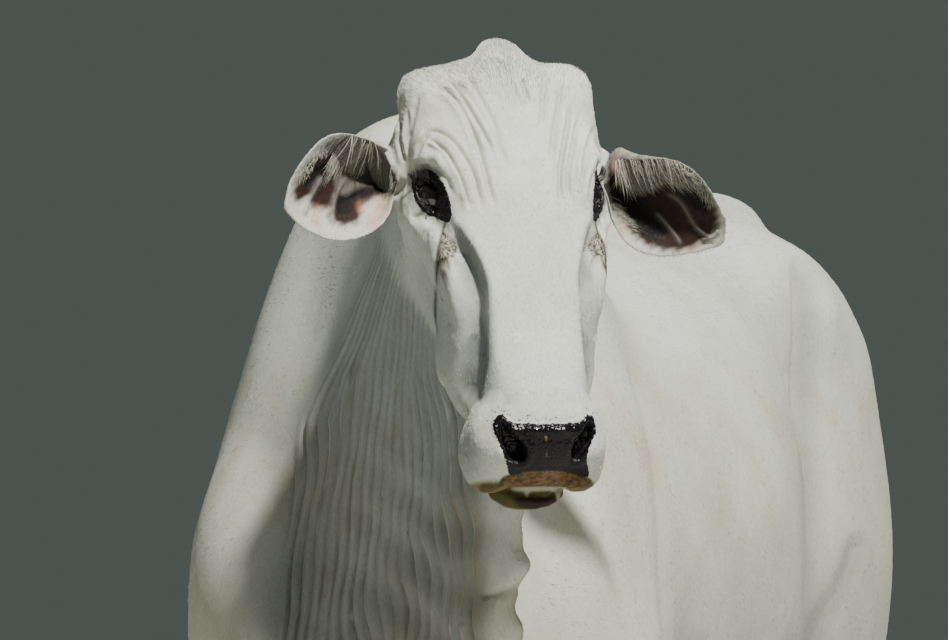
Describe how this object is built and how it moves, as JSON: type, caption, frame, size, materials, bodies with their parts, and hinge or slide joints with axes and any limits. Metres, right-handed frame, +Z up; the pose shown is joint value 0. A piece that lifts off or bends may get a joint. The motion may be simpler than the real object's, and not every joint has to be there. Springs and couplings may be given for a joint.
{
  "type": "brahman cow",
  "caption": "Life-size standing white Brahman cow with a shoulder hump, hanging dewlap, short cupped ears, dark nose pad and a dark tail switch, head turned to one side.",
  "frame": {"origin": "on the floor, at the middle of the outline seen from above", "axes": "+Z up; the body faces -Y, so +Y points to the tail; +X is the animal's left"},
  "size_m": [0.7336, 2.0322, 1.5601],
  "materials": {
    "hide": "short flat white hair over grey skin, matt",
    "nose_skin": "black pebbled skin, moist and glossy",
    "eye": "very dark brown, wet gloss",
    "hoof_horn": "dark horn, faint growth rings",
    "switch_hair": "black-grey long hair, soft sheen"
  },
  "bodies": {
    "root": {"barrel": "hide", "chest": "hide", "dewlap": "hide", "ear_left": "hide", "ear_right": "hide", "eye_left": "eye", "eye_right": "eye", "fore_cannon_left": "hide", "fore_cannon_right": "hide", "fore_claw_left_inner": "hoof_horn", "fore_claw_left_outer": "hoof_horn", "fore_claw_right_inner": "hoof_horn", "fore_claw_right_outer": "hoof_horn", "fore_pastern_left": "hide", "fore_pastern_right": "hide", "foreleg_left": "hide", "foreleg_right": "hide", "head": "hide", "hind_cannon_left": "hide", "hind_cannon_right": "hide", "hind_claw_left_inner": "hoof_horn", "hind_claw_left_outer": "hoof_horn", "hind_claw_right_inner": "hoof_horn", "hind_claw_right_outer": "hoof_horn", "hind_pastern_left": "hide", "hind_pastern_right": "hide", "hindleg_left": "hide", "hindleg_right": "hide", "hump": "hide", "lower_jaw": "hide", "muzzle": "hide", "neck": "hide", "nose_pad": "nose_skin", "rump": "hide", "tail": "hide", "tail_switch": "switch_hair"}
  },
  "joints": []
}
